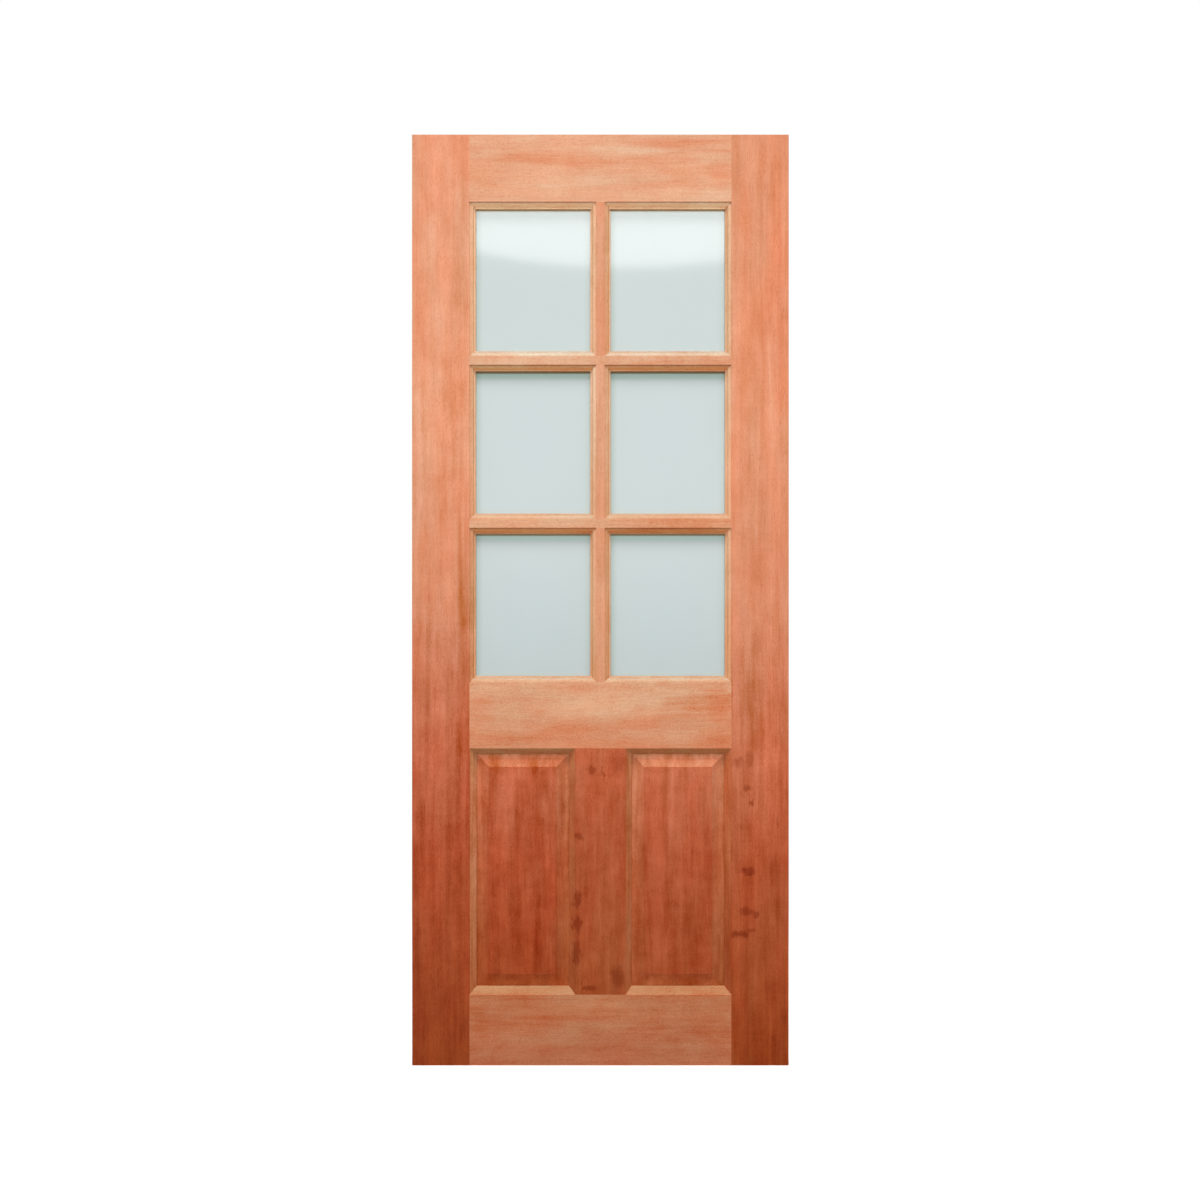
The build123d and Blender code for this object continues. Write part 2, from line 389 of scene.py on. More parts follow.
def worked_edges(finish, site, board, tones, right_side, shaded_right_of, shaded_below):
    """The board with the tones of its mouldings and splays, and painted light and shade by the way they face
    and how deep they lie.
    """
    x, z, depth = site.x, site.z, site.depth
    inside = (x - LEFT).smaller(RIGHT - x).smaller(z - FOOT).smaller(HEAD - z)
    glazed = z.rise(*GLAZING_STEP)
    below = site.facing_up.rise(*DOWN_FACING)
    edge = finish.height_tones(z, tones)
    # Painted shade on the edges that face right, and, among the glass, on the edges that face up.
    edge = finish.tint(site.facing_across.rise(*RIGHT_FACING), edge, right_side)
    edge = finish.tint(site.facing_up.rise(*UP_FACING) * glazed, edge, UPPER_SIDE_PAINTED_SHADE)
    # Painted shade: warm under the downward edges, deeper in the quirk and under the lip beside the glass,
    # less deep under the top rail's lip; painted light on the nosing between them.
    edge = finish.tint(below, edge, UNDERSIDE_PAINTED_SHADE)
    edge = finish.tint(below * glazed * depth.rise(*QUIRK_END), edge, QUIRK_PAINTED_SHADE)
    nosing = depth.rise(*NOSING_START) * depth.rise(*NOSING_END)
    edge = finish.tint(below * glazed * nosing, edge, NOSING_PAINTED_LIGHT)
    lip = finish.mix(z.rise(*TOP_LIP_STEP), LIP_PAINTED_SHADE, TOP_LIP_PAINTED_SHADE)
    edge = finish.tint(below * glazed * depth.rise(*LIP_START), edge, lip)
    # Painted shade on the fillet behind the quirk, right of one place or under one height.
    fillet = abs(site.facing_back).rise(*SQUARE_FACING) * depth.rise(*FILLET_START) * depth.rise(*FILLET_END)
    if shaded_right_of is not None:
        beside = x.rise(shaded_right_of, shaded_right_of + SHADE_BLUR)
        edge = finish.tint(fillet * glazed * beside, edge, SIDE_FILLET_PAINTED_SHADE)
    if shaded_below is not None:
        under = z.rise(shaded_below, shaded_below - SHADE_BLUR)
        edge = finish.tint(fillet * glazed * under, edge, HEAD_FILLET_PAINTED_SHADE)
    return finish.mix(inside.rise(*WORKED_INSET) * depth.rise(*WORKED_DEPTH), board, edge)


def raised_field(finish, site, board):
    """The board with the tones of a fielded panel's bevels and of the margin outside them, with painted
    light on the margin, its upper shoulder and the upward and downward bevels, and painted shade on the
    bevels facing right.
    """
    depth = site.depth
    upper = site.facing_up.rise(*BEVEL_FACING)
    shoulder = depth.rise(*SHOULDER_START) * depth.rise(*SHOULDER_END)
    board = finish.tint(depth.rise(*BEVEL_START), board, BEVEL_TINT)
    board = finish.tint(depth.rise(*MARGIN_START), board, MARGIN_PAINTED_LIGHT)
    board = finish.tint(shoulder * upper, board, UPPER_SHOULDER_PAINTED_LIGHT)
    board = finish.tint(upper, board, UPPER_BEVEL_PAINTED_LIGHT)
    board = finish.tint(site.facing_up.rise(*BEVEL_DOWN_FACING), board, UNDER_BEVEL_PAINTED_LIGHT)
    return finish.tint(site.facing_across.rise(*BEVEL_FACING), board, RIGHT_BEVEL_PAINTED_SHADE)


def timber(
    name,
    along,
    tones,
    seed,
    tints=PLAIN,
    figure=(1.0, 1.0),
    stretch=1.0,
    fine=1.0,
    edge_tones=None,
    right_side=RIGHT_SIDE_PAINTED_SHADE,
    shaded_right_of=None,
    shaded_below=None,
    fielded=False,
    patches=(),
    blushes=(),
    marks=(),
):
    """Sanded reddish hardwood with its grain along Z or X.

    The figure is its contrast at the foot and at the head of the leaf, stretch is how long its streaks run
    and fine how strong its fibres are. The fillets of the mouldings right of one place, or below one height,
    lie in shade. Patches, blushes and marks are spots of darker wood, redder wood and gum, the marks on the
    front alone.
    """
    finish = Finish(name)
    site = Site(finish)
    place, z = site.place, site.z
    upright = along == "Z"
    shift = tuple(step * seed for step in SEED_STEPS)

    def lumps(across, length):
        return (1 / across, 1 / across, 1 / length) if upright else (1 / length, 1 / across, 1 / across)

    flow = finish.drift(place, lumps(*SWAY_SIZE), shift, UPRIGHT_SWAY if upright else CROSS_SWAY)

    def grain(size, **noise):
        across, length = size
        return finish.noise(flow, lumps(across, stretch * length), shift, **noise)

    bands = grain(BAND_SIZE)
    hue = grain(HUE_SIZE, detail=3.0)
    streaks = grain(STREAK_SIZE, detail=3.0, rough=0.55)
    fibres = grain(FIBRE_SIZE, rough=0.6)
    mottle = grain(MOTTLE_SIZE, detail=3.0)
    ripples = finish.noise(flow, lumps(*RIPPLE_SIZE), shift)
    speckle = finish.noise(place, lumps(*SPECKLE_SIZE), shift, detail=1.0)
    pores = grain(PORE_SIZE, detail=1.0).rise(*PORE_STEP)

    def torn_spot(where, spot, rim_step):
        """How strongly one spot shows; the streaks tear its rim."""
        across, up, half_width, half_height, strength = spot
        rim = finish.spot(where, across, up, half_width, half_height) + RIM_TEAR * (streaks - 0.5)
        return strength * rim.rise(*rim_step)

    (low, low_tint), (high, high_tint) = tints
    board_tint = finish.mix(z.rise(low, high), low_tint, high_tint)
    board = finish.tint(1.0, finish.height_tones(z, tones), board_tint)
    if edge_tones:
        board = worked_edges(finish, site, board, edge_tones, right_side, shaded_right_of, shaded_below)
    if fielded:
        board = raised_field(finish, site, board)
    board = finish.tint(1.0, board, finish.mix(hue.rise(*HUE_STEP), RED_WOOD, TAN_WOOD))
    for spot in blushes:
        board = finish.tint(torn_spot(place, spot, PATCH_RIM), board, BLUSH_TINT)

    foot_figure, head_figure = figure
    contrast = foot_figure + (head_figure - foot_figure) * z.rise(*FIGURE_STEP)
    band_share, streak_share, fibre_share, speckle_share = UPRIGHT_SHARES if upright else CROSS_SHARES
    shade = band_share * (bands - 0.5) + streak_share * (streaks - 0.5)
    shade = shade + fine * (fibre_share * (fibres - 0.5) + speckle_share * (speckle - 0.5))
    if not upright:
        shade = shade - FLECK_SHARE * fine * grain(FLECK_SIZE).rise(*FLECK_STEP)
    shade = 0.5 + contrast * (shade + MOTTLE_SHARE * (mottle - 0.5) + RIPPLE_SHARE * (ripples - 0.5))
    for spot in patches:
        shade = shade - torn_spot(place, spot, PATCH_RIM)

    dark, pale = UPRIGHT_STREAKS if upright else CROSS_STREAKS
    colour = finish.tint(1.0, board, finish.mix(shade, dark, pale, clamp_factor=False))
    colour = finish.tint(PORE_SHARE * pores, colour, PORE_TINT)
    if marks:
        drifting = finish.drift(place, MARK_LUMPS, shift, MARK_DRIFT)
        on_front = site.y.rise(*FRONT_STEP)
        for spot in marks:
            colour = finish.tint(on_front * torn_spot(drifting, spot, MARK_RIM), colour, GUM_TINT)
    end_facing = site.facing_up if upright else site.facing_across
    colour = finish.tint(abs(end_facing).rise(*SQUARE_FACING), colour, END_GRAIN_TINT)
    top_edge = site.facing_up.rise(*SQUARE_FACING) * z.rise(*TOP_EDGE_STEP)
    colour = finish.tint(top_edge, colour, TOP_EDGE_TINT)

    height = FIBRE_RELIEF * fibres - PORE_RELIEF * pores + STREAK_RELIEF * streaks
    relief = finish.add(
        "ShaderNodeBump",
        {},
        {"Strength": RELIEF_STRENGTH, "Distance": RELIEF_DISTANCE, "Height": height},
    )
    finish.fill(
        finish.surface,
        {
            "Base Color": colour,
            "Roughness": TIMBER_ROUGHNESS + FIBRE_ROUGHNESS * (fibres - 0.5) + PORE_ROUGHNESS * pores,
            "Specular IOR Level": DULL_SPECULAR,
            "Normal": relief,
        },
    )
    return finish.material


# Obscured glass: its tones with height, its cloud and seeds in lumps to the metre, and its two shades
GLASS_TONES = (
    (0.86, (196, 209, 208)),
    (1.15, (207, 219, 218)),
    (1.45, (204, 216, 215)),
    (1.85, (197, 208, 206)),
)
CLOUD_LUMPS = (5, 5, 4)
SEED_LUMPS = (900, 900, 900)
CLOUD_SHARE = 0.5
SEED_SHARE = 0.12
GLASS_SHADES = ((0.93, 0.94, 0.94, 1), (1.05, 1.05, 1.05, 1))
GLASS_ROUGHNESS = 0.42
CLOUD_ROUGHNESS = 0.1

# Painted shade on the glass: dimmer and greener close to the mouldings, and darkest in a thin line where it
# meets them at the head; in the top row the wider band under the head is painted light instead, where the
# lamp's reflection lies.
GLASS_SIDE_PAINTED_SHADE = (0.80, 0.85, 0.80, 1)
GLASS_HEAD_PAINTED_SHADING = {
    "bottom": (0.86, 1.02, 0.94, 1),
    "middle": (0.74, 0.91, 0.81, 1),
    "top": (1.20, 1.24, 1.22, 1),
}
GLASS_CONTACT_PAINTED_SHADOWS = {
    "bottom": (0.72, 0.44, 0.23, 1),
    "middle": (0.75, 0.45, 0.24, 1),
    "top": (0.76, 0.68, 0.52, 1),
}

# Soft steps of these tints in metres: from the sides inwards, and up from the head of the sight opening
GLASS_SIDE_STEP = (0.018, -0.002)
GLASS_HEAD_STEP = (-0.022, -0.008)
GLASS_CONTACT_STEP = (-0.0056, -0.0036)
GLASS_HIDDEN_STEP = (0.004, 0.008)
PANE_HALVES_STEP = (-0.001, 0.001)
RIGHT_HALF_FADE = 0.55


def obscured_glass():
    """Pale green-blue sheet that lets light through but no picture, with a smooth face over it."""
    finish = Finish("obscured_glass")
    place = finish.place()
    x, _, z = finish.axes(place)

    def step_from(height, step):
        return z.rise(*(height + offset for offset in step))

    cloud = finish.noise(place, CLOUD_LUMPS)
    seeds = finish.noise(place, SEED_LUMPS, detail=1.0)
    shade = 0.5 + CLOUD_SHARE * (cloud - 0.5) + SEED_SHARE * (seeds - 0.5)
    colour = finish.tint(1.0, finish.height_tones(z, GLASS_TONES), finish.mix(shade, *GLASS_SHADES))
    sight_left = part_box("middle_left_left_bead")[1][0]
    sight_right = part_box("middle_left_right_bead")[0][0]
    half_width = (sight_right - sight_left) / 2
    outwards = abs(x - MIDDLE) - (MIDDLE - sight_left - half_width)
    right_half = (outwards * (x - MIDDLE)).rise(*PANE_HALVES_STEP)
    beside = (half_width - abs(outwards)).rise(*GLASS_SIDE_STEP) * (1 - RIGHT_HALF_FADE * right_half)
    # Painted shade along the sides of each pane, fainter on its right side.
    colour = finish.tint(beside, colour, GLASS_SIDE_PAINTED_SHADE)
    # Painted shade under each head, painted light in the top row, and a thin painted shadow where the glass
    # meets it.
    for row in ROWS:
        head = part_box(f"{row}_left_head_bead")[0][2]
        hidden = step_from(head, GLASS_HIDDEN_STEP)
        colour = finish.tint(step_from(head, GLASS_HEAD_STEP) - hidden, colour, GLASS_HEAD_PAINTED_SHADING[row])
        colour = finish.tint(step_from(head, GLASS_CONTACT_STEP) - hidden, colour, GLASS_CONTACT_PAINTED_SHADOWS[row])
    finish.fill(
        finish.surface,
        {
            "Base Color": colour,
            "Roughness": GLASS_ROUGHNESS + CLOUD_ROUGHNESS * (cloud - 0.5),
            "IOR": 1.5,
            "Specular IOR Level": DULL_SPECULAR,
            "Transmission Weight": 0.12,
            "Coat Weight": 1.0,
            "Coat Roughness": 0.06,
            "Coat IOR": 1.65,
        },
    )
    return finish.material


# Patches of darker wood, or paler where the strength is below zero, and blushes of redder wood:
# place across, place up, half width, half height, strength
LEFT_STILE_PATCHES = (
    (0.108, 0.890, 0.012, 0.250, 0.35),
    (0.075, 0.625, 0.018, 0.100, -0.20),
    (0.044, 0.472, 0.022, 0.066, 0.15),
    (0.055, 0.176, 0.033, 0.055, 0.15),
    (0.076, 1.080, 0.014, 0.130, -0.24),
    (0.112, 1.080, 0.010, 0.130, 0.28),
)
RIGHT_STILE_PATCHES = (
    (0.775, 0.637, 0.010, 0.090, -0.14),
    (0.725, 0.522, 0.022, 0.010, 0.20),
    (0.701, 0.467, 0.003, 0.026, 0.55),
    (0.697, 0.320, 0.006, 0.170, 0.38),
    (0.789, 0.415, 0.008, 0.040, 0.40),
    (0.710, 0.099, 0.014, 0.055, 0.30),
    (0.764, 0.033, 0.055, 0.044, 0.15),
    (0.790, 1.900, 0.008, 0.100, 0.20),
    (0.765, 1.634, 0.030, 0.060, 0.12),
    (0.760, 0.850, 0.035, 0.060, 0.12),
    (0.706, 1.010, 0.012, 0.120, -0.24),
    (0.812, 0.640, 0.014, 0.170, 0.30),
)
RIGHT_STILE_BLUSHES = (
    (0.800, 1.660, 0.034, 0.220, 0.90),
    (0.815, 0.870, 0.016, 0.130, 0.60),
)
MUNTIN_PATCHES = (
    (0.449, 0.439, 0.007, 0.026, -0.25),
    (0.395, 0.220, 0.018, 0.048, -0.15),
)
LEFT_PANEL_PATCHES = (
    (0.262, 0.515, 0.046, 0.120, 0.22),
    (0.200, 0.548, 0.016, 0.125, -0.22),
    (0.240, 0.636, 0.040, 0.028, -0.15),
    (0.240, 0.274, 0.050, 0.100, 0.18),
    (0.257, 0.375, 0.014, 0.075, 0.25),
    (0.283, 0.252, 0.020, 0.055, 0.25),
    (0.301, 0.581, 0.008, 0.110, 0.25),
    (0.161, 0.215, 0.008, 0.040, -0.28),
)
RIGHT_PANEL_PATCHES = (
    (0.537, 0.362, 0.013, 0.155, -0.18),
    (0.533, 0.581, 0.020, 0.070, -0.14),
    (0.513, 0.428, 0.006, 0.048, 0.40),
    (0.559, 0.406, 0.006, 0.066, 0.20),
    (0.522, 0.307, 0.008, 0.055, 0.22),
    (0.557, 0.329, 0.008, 0.055, 0.22),
    (0.620, 0.296, 0.030, 0.088, 0.18),
    (0.646, 0.428, 0.006, 0.130, 0.22),
    (0.519, 0.189, 0.006, 0.012, 0.38),
    (0.652, 0.189, 0.009, 0.012, 0.34),
)
TOP_RAIL_PATCHES = (
    (0.330, 1.988, 0.170, 0.018, 0.22),
    (0.600, 2.020, 0.110, 0.018, 0.18),
    (0.310, 1.930, 0.160, 0.030, -0.32),
    (0.520, 2.004, 0.050, 0.010, -0.10),
    (0.590, 1.953, 0.040, 0.014, 0.12),
)
TOP_RAIL_BLUSHES = ((0.520, 2.020, 0.140, 0.014, 0.60), (0.680, 1.950, 0.030, 0.050, 0.60))
MIDDLE_RAIL_PATCHES = (
    (0.410, 0.790, 0.130, 0.034, -0.38),
    (0.645, 0.790, 0.090, 0.036, 0.38),
    (0.220, 0.708, 0.080, 0.018, 0.34),
    (0.640, 0.722, 0.080, 0.018, 0.28),
)
MIDDLE_RAIL_BLUSHES = ((0.150, 0.785, 0.040, 0.050, 0.60), (0.680, 0.790, 0.030, 0.050, 0.70))
BOTTOM_RAIL_PATCHES = (
    (0.420, 0.133, 0.140, 0.010, -0.35),
    (0.220, 0.030, 0.080, 0.020, -0.30),
    (0.150, 0.095, 0.030, 0.050, 0.30),
    (0.230, 0.147, 0.085, 0.011, 0.48),
    (0.310, 0.105, 0.160, 0.007, 0.25),
    (0.600, 0.075, 0.120, 0.030, 0.15),
)
LOWER_BAR_PATCHES = ((0.560, 1.188, 0.140, 0.020, 0.45),)
UPPER_BAR_PATCHES = ((0.280, 1.545, 0.140, 0.020, -0.32), (0.590, 1.545, 0.100, 0.020, 0.15))

# Gum marks, told in the same way
RIGHT_STILE_MARKS = (
    (0.714, 0.664, 0.010, 0.014, 0.55),
    (0.741, 0.670, 0.012, 0.018, 0.50),
    (0.735, 0.607, 0.014, 0.007, 0.75),
    (0.747, 0.575, 0.006, 0.007, 0.80),
    (0.737, 0.425, 0.016, 0.010, 0.85),
    (0.730, 0.338, 0.019, 0.009, 0.75),
    (0.756, 0.331, 0.008, 0.007, 0.75),
    (0.719, 0.287, 0.015, 0.009, 0.95),
    (0.744, 0.296, 0.012, 0.005, 0.60),
    (0.800, 0.531, 0.004, 0.018, 0.60),
)
MUNTIN_MARKS = (
    (0.454, 0.668, 0.024, 0.034, 0.50),
    (0.452, 0.193, 0.017, 0.026, 0.60),
    (0.393, 0.648, 0.009, 0.010, 0.75),
    (0.417, 0.645, 0.005, 0.016, 0.65),
    (0.366, 0.502, 0.010, 0.008, 0.70),
    (0.362, 0.362, 0.008, 0.022, 0.80),
    (0.362, 0.307, 0.011, 0.022, 0.90),
    (0.361, 0.248, 0.008, 0.033, 0.85),
    (0.388, 0.169, 0.015, 0.006, 0.75),
)


def clad(node, material):
    """Give a CAD node its finish."""
    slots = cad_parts[node].data.materials
    slots.clear()
    slots.append(material)


def dress(node, along, tones, seed, **extras):
    """Give a CAD node of timber its own board."""
    clad(node, timber(f"{node}_timber", along, tones, seed, **extras))


# Boards of the leaf, each with its own seed
dress(
    "left_stile",
    "Z",
    UPRIGHT_TONES,
    seed=1,
    tints=LEFT_STILE_TINTS,
    figure=(2.4, 1.0),
    stretch=0.9,
    edge_tones=LEFT_STILE_EDGE_TONES,
    shaded_right_of=LEFT,
    patches=LEFT_STILE_PATCHES,
)
dress(
    "right_stile",
    "Z",
    UPRIGHT_TONES,
    seed=2,
    tints=RIGHT_STILE_TINTS,
    figure=(2.0, 1.0),
    edge_tones=RIGHT_STILE_EDGE_TONES,
    patches=RIGHT_STILE_PATCHES,
    blushes=RIGHT_STILE_BLUSHES,
    marks=RIGHT_STILE_MARKS,
)
dress(
    "top_rail",
    "X",
    CROSS_TONES,
    seed=3,
    edge_tones=TOP_RAIL_EDGE_TONES,
    shaded_below=HEAD,
    patches=TOP_RAIL_PATCHES,
    blushes=TOP_RAIL_BLUSHES,
)
dress(
    "middle_rail",
    "X",
    CROSS_TONES,
    seed=4,
    figure=(0.92, 0.92),
    stretch=0.7,
    fine=1.4,
    edge_tones=MIDDLE_RAIL_EDGE_TONES,
    patches=MIDDLE_RAIL_PATCHES,
    blushes=MIDDLE_RAIL_BLUSHES,
)
dress(
    "bottom_rail",
    "X",
    CROSS_TONES,
    seed=5,
    figure=(1.25, 1.25),
    stretch=0.8,
    fine=1.05,
    edge_tones=BOTTOM_RAIL_EDGE_TONES,
    patches=BOTTOM_RAIL_PATCHES,
)
dress(
    "muntin",
    "Z",
    UPRIGHT_TONES,
    seed=6,
    tints=MUNTIN_TINTS,
    figure=(1.6, 1.6),
    stretch=0.6,
    edge_tones=MUNTIN_EDGE_TONES,
    # its splays facing right get painted light instead of the painted shade of other boards
    right_side=MUNTIN_RIGHT_PAINTED_LIGHT,
    patches=MUNTIN_PATCHES,
    marks=MUNTIN_MARKS,
)
for number, (place, edge_tones, patches) in enumerate(
    (
        ("lower", LOWER_BAR_EDGE_TONES, LOWER_BAR_PATCHES),
        ("upper", UPPER_BAR_EDGE_TONES, UPPER_BAR_PATCHES),
    )
):
    bar_low, bar_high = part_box(f"{place}_cross_bar")
    dress(
        f"{place}_cross_bar",
        "X",
        CROSS_TONES,
        seed=7 + number,
        edge_tones=edge_tones,
        shaded_below=(bar_low[2] + bar_high[2]) / 2,
        patches=patches,
    )
for number, row in enumerate(ROWS):
    dress(
        f"{row}_upright_bar",
        "Z",
        CROSS_TONES,
        seed=9 + number,
        tints=UPRIGHT_BAR_TINTS,
        edge_tones=GLAZING_EDGE_TONES,
        shaded_right_of=MIDDLE,
    )
for number, (column, tints, contrast, patches) in enumerate(
    (
        ("left", LEFT_PANEL_TINTS, 2.0, LEFT_PANEL_PATCHES),
        ("right", RIGHT_PANEL_TINTS, 1.8, RIGHT_PANEL_PATCHES),
    )
):
    dress(
        f"{column}_panel",
        "Z",
        UPRIGHT_TONES,
        seed=12 + number,
        tints=tints,
        figure=(contrast, contrast),
        stretch=0.55,
        fielded=True,
        patches=patches,
    )
glass = obscured_glass()
upright_bead = timber("upright_bead_timber", "Z", GLAZING_EDGE_TONES, seed=14)
cross_bead = timber("cross_bead_timber", "X", GLAZING_EDGE_TONES, seed=15)
for row in ROWS:
    for column in COLUMNS:
        clad(f"{row}_{column}_pane", glass)
        for bead_place in BEAD_PLACES:
            bead = cross_bead if bead_place in ("sill", "head") else upright_bead
            clad(f"{row}_{column}_{bead_place}_bead", bead)


# Stopped pin holes in the beads, in metres: inset from the bead's outer edge and gap at its ends,
# radius, share of it at the crown, rise and spread of sizes; then sides, number to a bead and seed
PIN_INSET = 0.0016
PIN_END_GAP = 0.045
PIN_RADIUS = 0.0012
PIN_CROWN = 0.7
PIN_RISE = 0.0003
PIN_SIZES = (0.8, 1.1)
PIN_SIDES = 12
PIN_COUNT = 3
PIN_SEED = 4

# Stopping: its two tones, and its grit and batches in lumps to the metre
STOPPING_TONES = (srgb(122, 66, 36), srgb(176, 108, 66))
GRIT_LUMPS = (2600, 2600, 2600)
BATCH_LUMPS = (9, 9, 9)
GRIT_SHARE = 1.2
BATCH_SHARE = 0.9
STOPPING_ROUGHNESS = 0.75
GRIT_ROUGHNESS = 0.2


def pin_stopping():
    """Brown stopping that fills the pin holes, dull and a little grainy."""
    finish = Finish("pin_stopping")
    grit = finish.noise(finish.place(), GRIT_LUMPS)
    batch = finish.noise(finish.place(), BATCH_LUMPS, detail=1.0)
    shade = 0.5 + GRIT_SHARE * (grit - 0.5) + BATCH_SHARE * (batch - 0.5)
    relief = finish.add("ShaderNodeBump", {}, {"Strength": 0.4, "Distance": 0.0002, "Height": grit})
    finish.fill(
        finish.surface,
        {
            "Base Color": finish.mix(shade, *STOPPING_TONES),
            "Roughness": STOPPING_ROUGHNESS + GRIT_ROUGHNESS * (grit - 0.5),
            "Specular IOR Level": DULL_SPECULAR,
            "Normal": relief,
        },
    )
    return finish.material


def pin_lines():
    """A mesh with one line along the flat of each bead, from its first pin to its last."""
    corners = []
    for row in ROWS:
        for column in COLUMNS:
            for bead_place in BEAD_PLACES:
                (low_x, _, low_z), (high_x, back, high_z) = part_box(f"{row}_{column}_{bead_place}_bead")
                if bead_place in ("sill", "head"):
                    up = low_z + PIN_INSET if bead_place == "sill" else high_z - PIN_INSET
                    corners += [(low_x + PIN_END_GAP, back, up), (high_x - PIN_END_GAP, back, up)]
                else:
                    across = low_x + PIN_INSET if bead_place == "left" else high_x - PIN_INSET
                    corners += [(across, back, low_z + PIN_END_GAP), (across, back, high_z - PIN_END_GAP)]
    mesh = bpy.data.meshes.new("bead_stopping")
    mesh.from_pydata(corners, [(first, first + 1) for first in range(0, len(corners), 2)], [])
    return mesh


class Shaping:
    """A Geometry Nodes tree in the making: add() makes any node, and asks() gives the tree a named input."""

    def __init__(self, name):
        self.tree = bpy.data.node_groups.new(name, "GeometryNodeTree")
        self.inputs = self.tree.nodes.new("NodeGroupInput")
        self.values = {}

    def asks(self, name, kind, value=None):
        socket = self.tree.interface.new_socket(name=name, in_out="INPUT", socket_type=kind)
        if value is not None:
            self.values[socket.identifier] = value
        return self.inputs.outputs[name]

    def add(self, kind, settings, sockets, output=0):
        node = self.tree.nodes.new(kind)
        for key, setting in settings.items():
            setattr(node, key, setting)
        for key, value in sockets.items():
            if isinstance(value, bpy.types.NodeSocket):
                self.tree.links.new(value, node.inputs[key])
            else:
                node.inputs[key].default_value = value
        return node.outputs[output]

    def gives(self, geometry):
        self.tree.interface.new_socket(name="Geometry", in_out="OUTPUT", socket_type="NodeSocketGeometry")
        self.tree.links.new(geometry, self.tree.nodes.new("NodeGroupOutput").inputs["Geometry"])

    def shape(self, name, mesh):
        """The finished piece as a plain mesh object."""
        piece = bpy.data.objects.new(name, mesh)
        bpy.context.scene.collection.objects.link(piece)
        modifier = piece.modifiers.new(name, "NODES")
        modifier.node_group = self.tree
        for identifier, value in self.values.items():
            modifier[identifier] = value
        shaped = piece.evaluated_get(bpy.context.evaluated_depsgraph_get())
        piece_mesh = bpy.data.meshes.new_from_object(shaped)
        piece.modifiers.clear()
        piece.data = piece_mesh
        return piece


pins = Shaping("stopped_pins")
lines = pins.asks("Lines", "NodeSocketGeometry")
count = pins.asks("Pins to a bead", "NodeSocketInt", PIN_COUNT)
radius = pins.asks("Radius", "NodeSocketFloat", PIN_RADIUS)
rise = pins.asks("Rise", "NodeSocketFloat", PIN_RISE)
stopping = pins.asks("Stopping", "NodeSocketMaterial", pin_stopping())
bead_curve = pins.add("GeometryNodeMeshToCurve", {}, {"Mesh": lines})
places = pins.add("GeometryNodeResampleCurve", {"mode": "COUNT"}, {"Curve": bead_curve, "Count": count})
crown = pins.add("ShaderNodeMath", {"operation": "MULTIPLY"}, {0: radius, 1: PIN_CROWN})
stop = pins.add(
    "GeometryNodeMeshCone",
    {},
    {"Vertices": PIN_SIDES, "Radius Top": crown, "Radius Bottom": radius, "Depth": rise},
)
stop = pins.add("GeometryNodeTransform", {}, {"Geometry": stop, "Rotation": (-math.pi / 2, 0, 0)})
size = pins.add(
    "FunctionNodeRandomValue",
    {"data_type": "FLOAT"},
    {"Min": PIN_SIZES[0], "Max": PIN_SIZES[1], "Seed": PIN_SEED},
    output="Value",
)
stops = pins.add("GeometryNodeInstanceOnPoints", {}, {"Points": places, "Instance": stop, "Scale": size})
stops = pins.add("GeometryNodeRealizeInstances", {}, {"Geometry": stops})
pins.gives(pins.add("GeometryNodeSetMaterial", {}, {"Geometry": stops, "Material": stopping}))
bead_stopping = pins.shape("bead_stopping", pin_lines())
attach(bead_stopping, "root")


# Camera: square on to the leaf, at its middle but for a small shift
FRAME_WIDTH = 2.630
CAMERA_DISTANCE = 2.2
CAMERA_SHIFT = 0.0009
SENSOR = 36.0
camera_data = bpy.data.cameras.new("camera")
camera_data.sensor_width = SENSOR
camera_data.lens = SENSOR * CAMERA_DISTANCE / FRAME_WIDTH
camera = bpy.data.objects.new("camera", camera_data)
bpy.context.scene.collection.objects.link(camera)
camera.location = (MIDDLE - CAMERA_SHIFT, FRONT - CAMERA_DISTANCE, (FOOT + HEAD) / 2)
camera.rotation_euler = (math.pi / 2, 0, 0)
bpy.context.scene.camera = camera
bpy.context.scene.view_settings.view_transform = "Standard"


# Soft lights, in metres and watts: width and depth of the lower and upper pairs, and where all of them point
LOWER_LIGHT_SIZE = (6.2, 2.8)
UPPER_LIGHT_SIZE = (4.0, 3.0)
LIGHT_AIM = Vector((MIDDLE, 0, 1.0))


def soft_light(name, place, size, power):
    """An oval soft light, turned towards the leaf."""
    light = bpy.data.lights.new(name, "AREA")
    light.shape = "ELLIPSE"
    light.size, light.size_y = size
    light.energy = power
    lamp = bpy.data.objects.new(name, light)
    bpy.context.scene.collection.objects.link(lamp)
    lamp.location = place
    lamp.rotation_euler = (LIGHT_AIM - Vector(place)).to_track_quat("-Z", "Y").to_euler()
    lamp.visible_camera = False


soft_light("front_light", (MIDDLE + 0.28, -6.0, 5.16), LOWER_LIGHT_SIZE, 150)
soft_light("overhead_light", (MIDDLE, -3.6, 10.35), UPPER_LIGHT_SIZE, 1000)
soft_light("rear_light", (MIDDLE, 6.0, 5.16), LOWER_LIGHT_SIZE, 150)
soft_light("rear_overhead_light", (MIDDLE, 3.6, 10.35), UPPER_LIGHT_SIZE, 930)

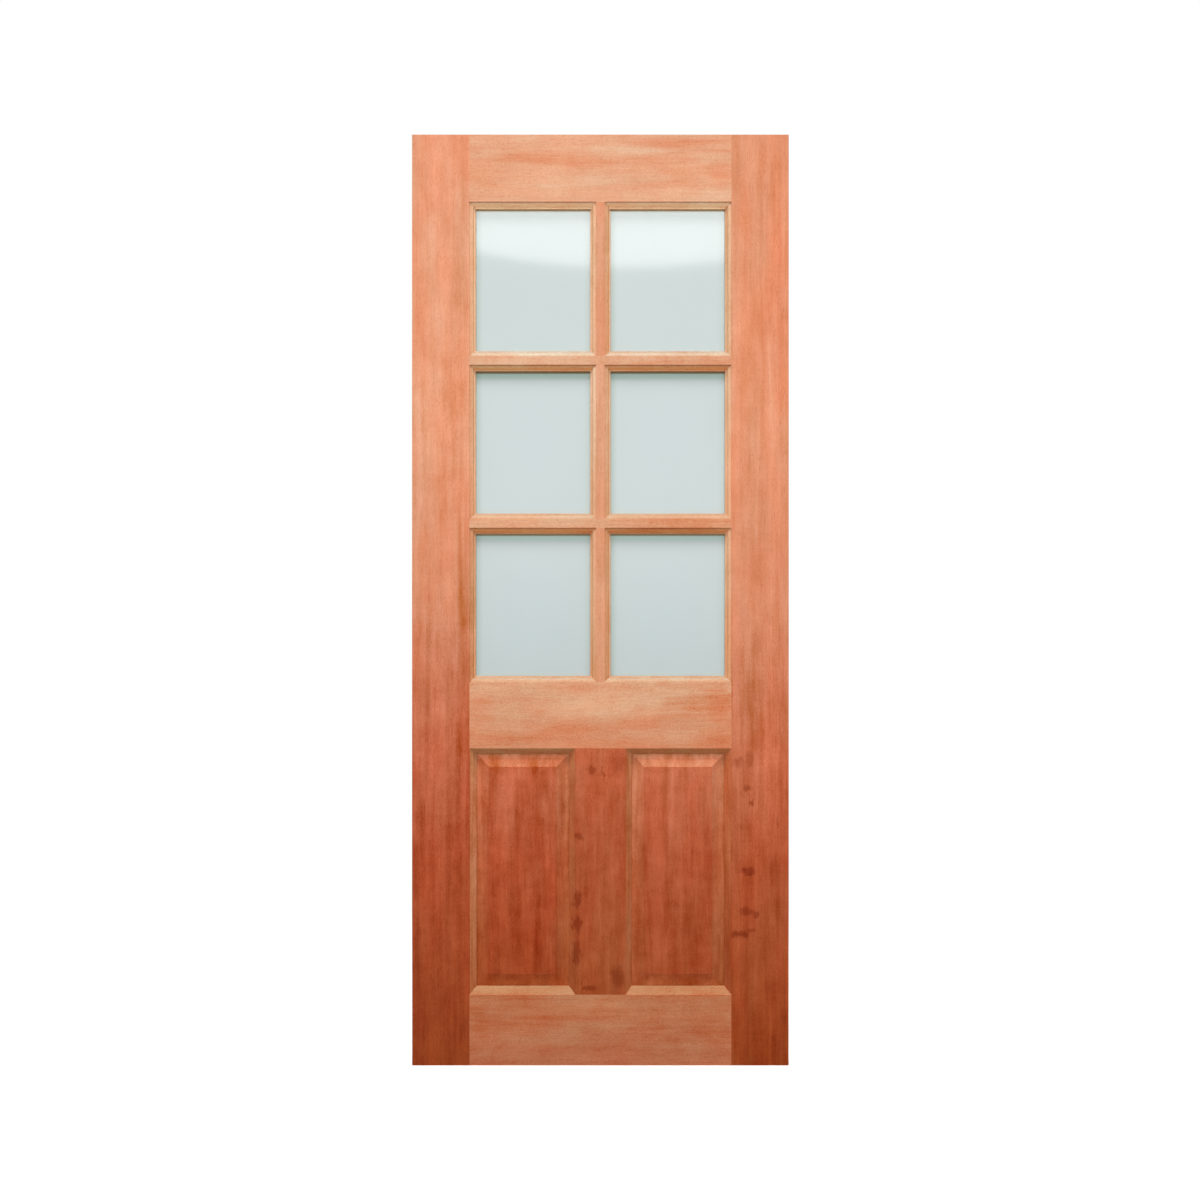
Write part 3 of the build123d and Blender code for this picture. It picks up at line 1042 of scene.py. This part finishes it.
# World: soft fill for the leaf, white where the camera, gloss or glass looks past it
FILL_STRENGTH = 0.46
world = bpy.data.worlds.new("studio")
bpy.context.scene.world = world
world.use_nodes = True
sky = world.node_tree
sky.nodes.clear()
rays = sky.nodes.new("ShaderNodeLightPath")
seen = sky.nodes.new("ShaderNodeMath")
seen.operation = "MAXIMUM"
sky.links.new(rays.outputs["Is Camera Ray"], seen.inputs[0])
seen_through = sky.nodes.new("ShaderNodeMath")
seen_through.operation = "MAXIMUM"
sky.links.new(rays.outputs["Is Glossy Ray"], seen_through.inputs[0])
sky.links.new(rays.outputs["Is Transmission Ray"], seen_through.inputs[1])
sky.links.new(seen_through.outputs[0], seen.inputs[1])
fill = sky.nodes.new("ShaderNodeBackground")
fill.inputs["Strength"].default_value = FILL_STRENGTH
white = sky.nodes.new("ShaderNodeBackground")
for background in (fill, white):
    background.inputs["Color"].default_value = (1, 1, 1, 1)
blend = sky.nodes.new("ShaderNodeMixShader")
sky.links.new(seen.outputs[0], blend.inputs[0])
sky.links.new(fill.outputs[0], blend.inputs[1])
sky.links.new(white.outputs[0], blend.inputs[2])
output = sky.nodes.new("ShaderNodeOutputWorld")
sky.links.new(blend.outputs[0], output.inputs[0])

# Floor: pale close by, with the leaf's shadow, and white further off; its tones unseen and seen
FLOOR_REACH = 30.0
FLOOR_TONES = ((0.28, 0.28, 0.28, 1), (0.85, 0.85, 0.85, 1))
FLOOR_FADE = (0.5, 1.3)
floor_mesh = bpy.data.meshes.new("floor")
floor_corners = [(x * FLOOR_REACH, y * FLOOR_REACH, FOOT) for x, y in ((-1, -1), (1, -1), (1, 1), (-1, 1))]
floor_mesh.from_pydata(floor_corners, [], [(0, 1, 2, 3)])
floor = bpy.data.objects.new("floor", floor_mesh)
bpy.context.scene.collection.objects.link(floor)
pale = Finish("pale_floor")
x, y, _ = pale.axes(pale.place())
away = ((x - MIDDLE) ** 2.0 + y**2.0) ** 0.5
camera_ray = pale.add("ShaderNodeLightPath", {}, {}, output="Is Camera Ray")
glossy_ray = pale.add("ShaderNodeLightPath", {}, {}, output="Is Glossy Ray")
through_ray = pale.add("ShaderNodeLightPath", {}, {}, output="Is Transmission Ray")
shows = camera_ray.larger(glossy_ray).larger(through_ray)
glow = pale.add("ShaderNodeEmission", {}, {"Color": (1, 1, 1, 1), "Strength": 1.0})
tone = pale.mix(shows, *FLOOR_TONES)
pale.fill(pale.surface, {"Base Color": tone, "Roughness": 0.9, "Specular IOR Level": 0.0})
blended = pale.add(
    "ShaderNodeMixShader",
    {},
    {0: shows * away.rise(*FLOOR_FADE), 1: Value(pale, pale.surface.outputs[0]), 2: glow},
)
pale.fill(pale.tree.nodes["Material Output"], {"Surface": blended})
floor_mesh.materials.append(pale.material)
